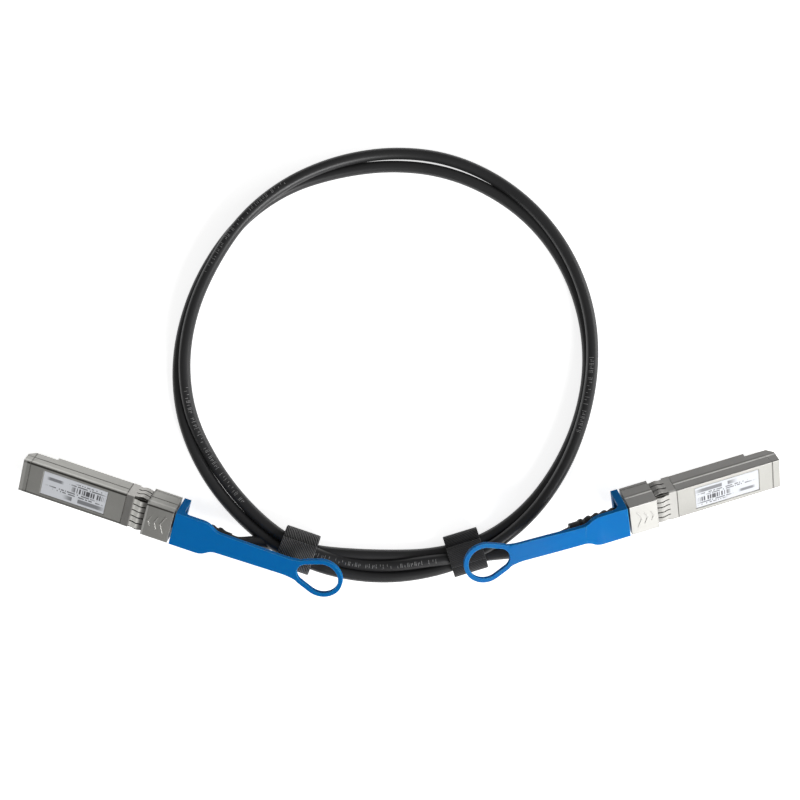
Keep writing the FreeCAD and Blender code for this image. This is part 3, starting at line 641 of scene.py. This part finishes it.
# looks by surface; colour, bright, crest, high and relief of collar and tie differ by side, as painted light
looks = {
    "shell": {
        "colour": (0.43, 0.425, 0.40), "spread": 0.16, "rough": 0.44, "scale": 1600.0, "relief": 0.12,
        # the dark seam colour also paints shade, the shade colour is painted shade, and the rim colour paints
        # highlights and worn rims
        "edge": 0.00025, "metal": 0.65, "seamAndPaintedShade": (0.05, 0.047, 0.04), "shade": (0.27, 0.265, 0.255),
        "rim": (0.78, 0.77, 0.74), "rimWidth": 0.0002, "rimStrength": 0.25,
    },
    "collar": {
        # the right band's darker colour is painted shade, and the bright crest is a painted highlight
        "colour": {"left": (0.42, 0.41, 0.39), "right": (0.24, 0.235, 0.225)},
        "bright": {"left": (0.86, 0.85, 0.80), "right": (0.60, 0.59, 0.56)},
        "crest": {"left": (43.9, 3.4), "right": (41.5, 12.0)},
        "facePlace": 9.8, "faceWidth": 4.0, "spread": 0.12, "rough": 0.36, "scale": 1200.0,
        "relief": 0.05, "edge": 0.00008, "metal": 0.85, "brightMetal": 0.2,
    },
    "tab": {
        "colour": (0.003, 0.170, 0.51), "spread": 0.06, "rough": 0.45, "scale": 1500.0, "relief": 0.06,
        # the rim colour paints a highlight on the tab's edges
        "edge": 0.0003, "shine": 0.06, "inside": 0.35, "rim": (0.08, 0.42, 0.80), "rimWidth": 0.0004,
        "rimStrength": 0.7,
    },
    "jacket": {
        "colour": (0.026, 0.026, 0.027), "spread": 0.2, "rough": 0.40, "scale": 1400.0, "relief": 0.08,
        "edge": 0.0001, "shine": 0.45,
    },
    "boot": {
        "colour": (0.009, 0.009, 0.009), "spread": 0.2, "rough": 0.55, "scale": 1500.0, "relief": 0.1,
        "shine": 0.35,
    },
    "tie": {
        "low": (0.012, 0.012, 0.013), "high": {"left": (0.15, 0.147, 0.147), "right": (0.026, 0.026, 0.027)},
        "relief": {"left": 1.0, "right": 0.4}, "reliefDepth": 0.0003, "rough": 0.85, "sheen": 0.3,
    },
    "print": {"colour": (0.45, 0.45, 0.45), "rough": 0.6},
    "label": {
        "colour": (0.78, 0.80, 0.84), "spread": 0.05, "rough": 0.35, "scale": 700.0, "relief": 0.02,
        "edge": 0.00005, "ink": (0.03, 0.03, 0.035),
    },
    "board": {"colour": (0.015, 0.11, 0.04), "rough": 0.45},
    "gold": {"colour": (0.78, 0.52, 0.16), "rough": 0.3, "metal": 0.95},
    "steel": {"colour": (0.45, 0.45, 0.44), "rough": 0.35, "metal": 0.9},
    "foil": {"colour": (0.6, 0.6, 0.62), "rough": 0.3, "metal": 0.9},
    "chip": {"colour": (0.02, 0.02, 0.022), "rough": 0.5},
    "ceramic": {"colour": (0.40, 0.27, 0.15), "rough": 0.5},
}


def ringRadius(angle):
    waves = sum(size * math.cos(count * math.radians(angle - turn)) for count, size, turn in cable["waves"])
    return cable["radius"] + waves


def smoothBetween(table, angle):
    for first, second in zip(table, table[1:]):
        if angle <= second[0]:
            share = max(0.0, (angle - first[0]) / (second[0] - first[0]))
            share = share * share * (3 - 2 * share)
            return [a + (b - a) * share for a, b in zip(first[1:], second[1:])]
    return list(table[-1][1:])


# centre of the jacket at an angle along the turns, with the radius scaled for a control point
def ringPlace(angle, scale=1.0):
    inside, height = smoothBetween(turnPath, angle)
    radius = (ringRadius(angle) - inside) * scale
    turn = math.radians(angle)
    x = cable["centre"][0] + radius * math.cos(turn)
    y = cable["centre"][1] + radius * math.sin(turn)
    return Vector((x, y, height)) * mm


def cablePoints():
    leads = [-cable["insideBoot"], 0.0, cable["straightLead"]]
    points = [onAxis("left", plug["bootEnd"] + back) for back in leads]
    points += [Vector(place) * mm for place in cable["leftPoints"]]
    step = 360.0 / cable["pointsPerTurn"]
    scale = 1.0 / math.cos(math.radians(step / 2))
    angle = turnPath[0][0]
    while angle <= turnPath[-1][0]:
        points.append(ringPlace(angle, scale))
        angle += step
    points += [Vector(place) * mm for place in cable["rightPoints"]]
    points += [onAxis("right", plug["bootEnd"] + back) for back in reversed(leads)]
    return points


def makeCable(material):
    points = cablePoints()
    curve = bpy.data.curves.new("cable_jacket", "CURVE")
    curve.dimensions = "3D"
    curve.bevel_depth = cable["diameter"] * mm / 2
    curve.bevel_resolution = cable["roundness"]
    curve.resolution_u = cable["smoothness"]
    curve.use_fill_caps = True
    spline = curve.splines.new("NURBS")
    spline.points.add(len(points) - 1)
    for control, point in zip(spline.points, points):
        control.co = (point.x, point.y, point.z, 1.0)
    spline.order_u = 3
    spline.use_endpoint_u = True
    curve.materials.append(material)
    piece = bpy.data.objects.new("cable_jacket", curve)
    bpy.context.scene.collection.objects.link(piece)
    return piece


# points along the middle of the jacket
def centreLine(piece):
    bare = piece.data.copy()
    bare.bevel_depth = 0.0
    bare.use_fill_caps = False
    probe = bpy.data.objects.new("lengthProbe", bare)
    bpy.context.scene.collection.objects.link(probe)
    bpy.context.view_layer.update()
    depsgraph = bpy.context.evaluated_depsgraph_get()
    mesh = bpy.data.meshes.new_from_object(probe.evaluated_get(depsgraph))
    places = [vertex.co.copy() for vertex in mesh.vertices]
    bpy.data.objects.remove(probe)
    bpy.data.meshes.remove(mesh)
    return places


# plain tallies on the jacket: stretches by first and last angle along the turns and lean from straight up,
# size of a mark, and the upright strokes of each kind as pairs of ends in shares of that size; a mark's
# number picks its kind by the two steps of the shuffle
jacketPrint = {
    "stretches": [(905, 943, -8), (967, 1004, 4), (838, 872, 20), (700, 722, -15)],
    "pitch": 1.35, "word": 9, "width": 0.5, "height": 1.6, "stroke": 0.17, "sink": 0.06, "segments": 3,
    "shuffle": (7, 3), "roundness": 1,
    "kinds": [
        [((0, 0), (0, 1))],
        [((0, 0), (0, 1)), ((1, 0), (1, 1))],
        [((0.5, 0), (0.5, 0.5))],
        [((0, 0.2), (0, 1)), ((1, 0.2), (1, 0.6))],
        [((0.5, 0.4), (0.5, 1))],
    ],
}


def onJacket(middle, along, lean, u, v):
    side = along.cross(Vector((0, 0, 1))).normalized()
    up = side.cross(along).normalized()
    radius = cable["diameter"] / 2 - jacketPrint["sink"]
    turn = math.radians(lean) + (v - 0.5) * jacketPrint["height"] / radius
    outward = side * math.sin(turn) + up * math.cos(turn)
    return middle + outward * radius * mm + along * u * jacketPrint["width"] * mm


# place and direction of the jacket's middle beside an angle along the turns
def besideAngle(places, angle):
    target = ringPlace(angle)
    nearest = min(range(1, len(places) - 1), key=lambda index: (places[index] - target).length)
    along = (places[nearest + 1] - places[nearest - 1]).normalized()
    return places[nearest] + along * (target - places[nearest]).dot(along), along


def addStroke(curve, middle, along, lean, ends):
    (u0, v0), (u1, v1) = ends
    segments = jacketPrint["segments"]
    spline = curve.splines.new("POLY")
    spline.points.add(segments)
    for index, point in enumerate(spline.points):
        share = index / segments
        place = onJacket(middle, along, lean, u0 + (u1 - u0) * share, v0 + (v1 - v0) * share)
        point.co = (place.x, place.y, place.z, 1.0)


def makePrint(places):
    curve = bpy.data.curves.new("jacketPrint", "CURVE")
    curve.dimensions = "3D"
    curve.bevel_depth = jacketPrint["stroke"] * mm / 2
    curve.bevel_resolution = jacketPrint["roundness"]
    curve.use_fill_caps = True
    kinds = jacketPrint["kinds"]
    times, parts = jacketPrint["shuffle"]
    number = 0
    for first, last, lean in jacketPrint["stretches"]:
        angle = first
        while angle < last:
            number += 1
            angle += math.degrees(jacketPrint["pitch"] / cable["radius"])
            if number % jacketPrint["word"] == 0:
                continue
            middle, along = besideAngle(places, angle)
            for ends in kinds[(number * times + number // parts) % len(kinds)]:
                addStroke(curve, middle, along, lean, ends)
    piece = bpy.data.objects.new("jacketPrint", curve)
    bpy.context.scene.collection.objects.link(piece)
    makeActive(piece)
    bpy.ops.object.convert(target="MESH")
    piece = bpy.context.object
    useMaterial(piece.data, surfaces["print"])
    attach(piece, "cable_assembly")


# one vertex that grows into a line by extrusion, left in edit mode with the line selected
def drawLine(name, points):
    deselectAll()
    bpy.ops.mesh.primitive_plane_add(size=0.01, location=(0, 0, 0))
    piece = bpy.context.object
    piece.name = name
    bpy.ops.object.mode_set(mode="EDIT")
    bpy.ops.mesh.select_all(action="SELECT")
    bpy.ops.mesh.merge(type="CENTER")
    bpy.ops.transform.translate(value=points[0])
    for before, after in zip(points, points[1:]):
        bpy.ops.mesh.extrude_region_move(TRANSFORM_OT_translate={"value": after - before})
    return piece


def tidyMesh():
    bpy.ops.mesh.select_all(action="SELECT")
    bpy.ops.mesh.remove_doubles(threshold=mergeGap)
    bpy.ops.mesh.normals_make_consistent(inside=False)
    bpy.ops.object.mode_set(mode="OBJECT")


def applyModifier(piece, kind, settings):
    makeActive(piece)
    modifier = piece.modifiers.new(kind.lower(), kind)
    for name, value in settings.items():
        setattr(modifier, name, value)
    bpy.ops.object.modifier_apply(modifier=modifier.name)


# ringed boot: rounded saw teeth and a plain end, spun round the cable; a tooth's outline is in shares of its
# pitch and of its height from low to high
boot = {
    "start": 0.5, "front": 2.7, "teeth": 6, "pitch": 3.1, "low": 2.55, "high": 3.15, "bore": 2.2, "end": 21.5,
    "endBevel": 0.3, "endRadius": 2.4, "segments": 40, "smoothAngle": 40.0,
    "tooth": [(0.0, 0.0), (0.10, 0.72), (0.24, 1.0), (0.46, 0.95), (0.80, 0.25)],
}


def makeBoot(side):
    outline = [(0.0, boot["bore"]), (0.0, boot["front"])]
    for index in range(boot["teeth"]):
        for share, rise in boot["tooth"]:
            radius = boot["low"] + (boot["high"] - boot["low"]) * rise
            outline.append((boot["start"] + (index + share) * boot["pitch"], radius))
    last = boot["start"] + boot["teeth"] * boot["pitch"]
    end = boot["end"]
    outline += [(last, boot["low"]), (end - boot["endBevel"], boot["low"])]
    outline += [(end, boot["endRadius"]), (end, boot["bore"])]
    height = plug["axisHeight"]
    points = [Vector((plug["headEnd"] + x, 0, height + radius)) * mm for x, radius in outline]
    piece = drawLine(side + "_boot", points)
    bpy.ops.mesh.select_all(action="SELECT")
    bpy.ops.mesh.spin(steps=boot["segments"], angle=2 * math.pi, center=(0, 0, height * mm), axis=(1, 0, 0))
    tidyMesh()
    for vertex in piece.data.vertices:
        vertex.co.y += sagAt(side, vertex.co.x / mm) * mm
    bpy.ops.object.shade_smooth_by_angle(angle=math.radians(boot["smoothAngle"]))
    piece.data.transform(frames[side])
    useMaterial(piece.data, surfaces["boot"])
    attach(piece, "cable_assembly")
    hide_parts(side + "_strain_relief")


# pull tab as its strap has settled: from and to along the plug, shortened, turned and set over by the end
settledTabs = {
    "right": {"from": 72.0, "to": 108.0, "shorten": 2.7, "twist": 16.0, "over": -1.2, "cuts": 24,
              "smoothAngle": 30.0},
}


def settleTab(side):
    settled = settledTabs[side]
    mesh = bpy.data.objects[side + "_pull_tab"].data.copy()
    mesh.transform(frames[side].inverted())
    piece = bpy.data.objects.new(side + "_tabSettled", mesh)
    bpy.context.scene.collection.objects.link(piece)
    makeActive(piece)
    bpy.ops.object.mode_set(mode="EDIT")
    bpy.ops.mesh.select_all(action="SELECT")
    bpy.ops.mesh.remove_doubles(threshold=seamGap)
    reach = (settled["to"] - settled["from"]) * mm
    for cut in range(settled["cuts"] + 1):
        bpy.ops.mesh.select_all(action="SELECT")
        place = settled["from"] * mm + reach * cut / settled["cuts"]
        bpy.ops.mesh.bisect(plane_co=(place, 0, 0), plane_no=(1, 0, 0))
    bpy.ops.object.mode_set(mode="OBJECT")
    middle = (plug["headTop"] - plug["tabThick"] / 2) * mm
    for vertex in mesh.vertices:
        share = min(max((vertex.co.x - settled["from"] * mm) / reach, 0.0), 1.0)
        ease = share * share * (3 - 2 * share)
        turn = math.radians(settled["twist"]) * ease
        y = vertex.co.y
        z = vertex.co.z - middle
        vertex.co.x -= settled["shorten"] * mm * share
        vertex.co.y = y * math.cos(turn) - z * math.sin(turn) + settled["over"] * mm * ease
        vertex.co.z = y * math.sin(turn) + z * math.cos(turn) + middle
    makeActive(piece)
    bpy.ops.object.shade_smooth_by_angle(angle=math.radians(settled["smoothAngle"]))
    mesh.transform(frames[side])
    useMaterial(mesh, surfaces["tab"])
    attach(piece, side + "_tab")
    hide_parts(side + "_pull_tab")


# hook-and-loop ties: angle on the ring, distance from its centre, width inside, top inside, turn of the
# strap
ties = {
    "left": {"angle": 244.3, "out": 74.9, "reach": 12.6, "top": 9.1, "turn": 7.0},
    "right": {"angle": 293.0, "out": 74.3, "reach": 13.2, "top": 6.6, "turn": -6.0},
}
tieStrap = {
    "width": 12.9, "thick": 1.1, "steps": 8, "floor": 1.15,
    "corner": 2.3, "cornerMargin": 0.2, "cornerPoints": 6,
    "lap": 7.5, "lapSteps": 6, "lapGap": 0.05, "spare": 2.0, "edge": 0.25, "smoothAngle": 35.0,
}


# closed outline of the strap's inner side, from the middle of the outer wall round over the top
def tieOutline(tie):
    half = tie["reach"] / 2
    low = tieStrap["floor"]
    high = tie["top"]
    corner = min(tieStrap["corner"], (high - low) / 2 - tieStrap["cornerMargin"])
    outline = []
    for middleU, middleV, first in (
        (half - corner, high - corner, 0), (corner - half, high - corner, 90),
        (corner - half, low + corner, 180), (half - corner, low + corner, 270),
    ):
        for index in range(tieStrap["cornerPoints"] + 1):
            turn = math.radians(first + 90 * index / tieStrap["cornerPoints"])
            outline.append((middleU + corner * math.cos(turn), middleV + corner * math.sin(turn)))
    return outline


# UV of the strap in millimetres: u along its run, v across its width
def layStrap(piece, places, run, along):
    layer = piece.data.uv_layers.active or piece.data.uv_layers.new(name="UVMap")
    total = run[-1]
    for polygon in piece.data.polygons:
        spots = []
        for loop in polygon.loop_indices:
            place = piece.data.vertices[piece.data.loops[loop].vertex_index].co
            v = (place - places[0]).dot(along) / mm
            flat = place - along * v * mm
            nearest = min(range(len(places)), key=lambda number: (places[number] - flat).length)
            spots.append((loop, run[nearest], v))
        wraps = max(u for _, u, _ in spots) - min(u for _, u, _ in spots) > total / 2
        for loop, u, v in spots:
            layer.data[loop].uv = (total if wraps and u < total / 2 else u, v)


# strap as wide as the ties, extruded along the cable from its outline and thickened outward
def strapPiece(name, outline, closed, tie):
    turn = math.radians(tie["angle"])
    outward = Vector((math.cos(turn), math.sin(turn), 0))
    centre = Vector((*cable["centre"], 0)) + outward * tie["out"]
    lean = math.radians(tie["angle"] + tie["turn"])
    across = Vector((math.cos(lean), math.sin(lean), 0))
    along = Vector((-math.sin(lean), math.cos(lean), 0))
    width = tieStrap["width"]
    places = [(centre + across * u + Vector((0, 0, v)) - along * width / 2) * mm for u, v in outline]
    run = [0.0]
    for before, after in zip(places, places[1:]):
        run.append(run[-1] + (after - before).length / mm)
    piece = drawLine(name, places + (places[:1] if closed else []))
    bpy.ops.mesh.select_all(action="SELECT")
    step = along * width * mm / tieStrap["steps"]
    for _ in range(tieStrap["steps"]):
        bpy.ops.mesh.extrude_region_move(TRANSFORM_OT_translate={"value": step})
    tidyMesh()
    layStrap(piece, places, run, along)
    applyModifier(piece, "SOLIDIFY", {"thickness": tieStrap["thick"] * mm, "offset": 1.0})
    applyModifier(piece, "BEVEL", {"width": tieStrap["edge"] * mm, "segments": 2, "limit_method": "ANGLE"})
    makeActive(piece)
    bpy.ops.object.shade_smooth_by_angle(angle=math.radians(tieStrap["smoothAngle"]))
    return piece


def makeTie(side):
    tie = ties[side]
    outline = tieOutline(tie)
    band = strapPiece(side + "_tie", outline, True, tie)
    high = tie["top"] + tieStrap["thick"] + tieStrap["lapGap"]
    length = tieStrap["lap"]
    count = tieStrap["lapSteps"]
    lap = [(length / 2 - step * length / count, high) for step in range(count + 1)]
    flap = strapPiece(side + "_tieLap", lap, False, tie)
    deselectAll()
    flap.select_set(True)
    band.select_set(True)
    bpy.context.view_layer.objects.active = band
    bpy.ops.object.join()
    useMaterial(band.data, tieWoven[side])
    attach(band, "cable_assembly")
    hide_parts(side + "_cable_tie")
    edges = zip(outline, outline[1:] + outline[:1])
    girth = sum(math.hypot(b[0] - a[0], b[1] - a[1]) for a, b in edges)


setStudio()
print("studio ready")

softLine = lineGroup()
surfaceGrain = grainGroup()
wearAndHighlightRim = rimGroup()
labelPrint = printGroup()
tieWeave = weaveGroup()
ownMaterials = ("shell", "label", "collar", "tie")
plainLooks = {name: look for name, look in looks.items() if name not in ownMaterials}
surfaces = {name: plainSurface(name + "Surface", look) for name, look in plainLooks.items()}
jacketBlack = surfaces["jacket"]
tieWoven = {side: tieMaterial(side) for side in sides}
nodeLooks = {
    "pull_tab": "tab", "latch_arm": "steel", "latch_pin": "steel", "latch_spring": "steel",
    "circuit_board": "board", "contact_pads": "gold", "memory_chip": "chip", "capacitors": "ceramic",
    "wire_pairs": "foil", "jacket_end": "jacket", "crimp_ring": "gold", "strain_relief": "boot",
    "shell_rivets": "steel", "cable_tail": "jacket",
}
for side in sides:
    shellLook = shellMaterial(side)
    nodeMaterials = {part: surfaces[look] for part, look in nodeLooks.items()}
    nodeMaterials.update({
        "lower_shell": shellLook, "upper_shell": shellLook, "label": labelMaterial(side),
        "spring_collar": collarMaterial(side), "cable_tie": tieWoven[side],
    })
    for part, material in nodeMaterials.items():
        useMaterial(nodes[side + "_" + part].data, material)
useMaterial(nodes["cable_coil"].data, jacketBlack)
print("materials on the nodes")

cablePiece = makeCable(jacketBlack)
for side in sides:
    makeBoot(side)
    makeTie(side)
for side in settledTabs:
    settleTab(side)
print("boots, ties and tab made")
cableLine = centreLine(cablePiece)
makePrint(cableLine)
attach(cablePiece, "cable_assembly")
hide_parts("cable_coil", "left_cable_tail", "right_cable_tail")
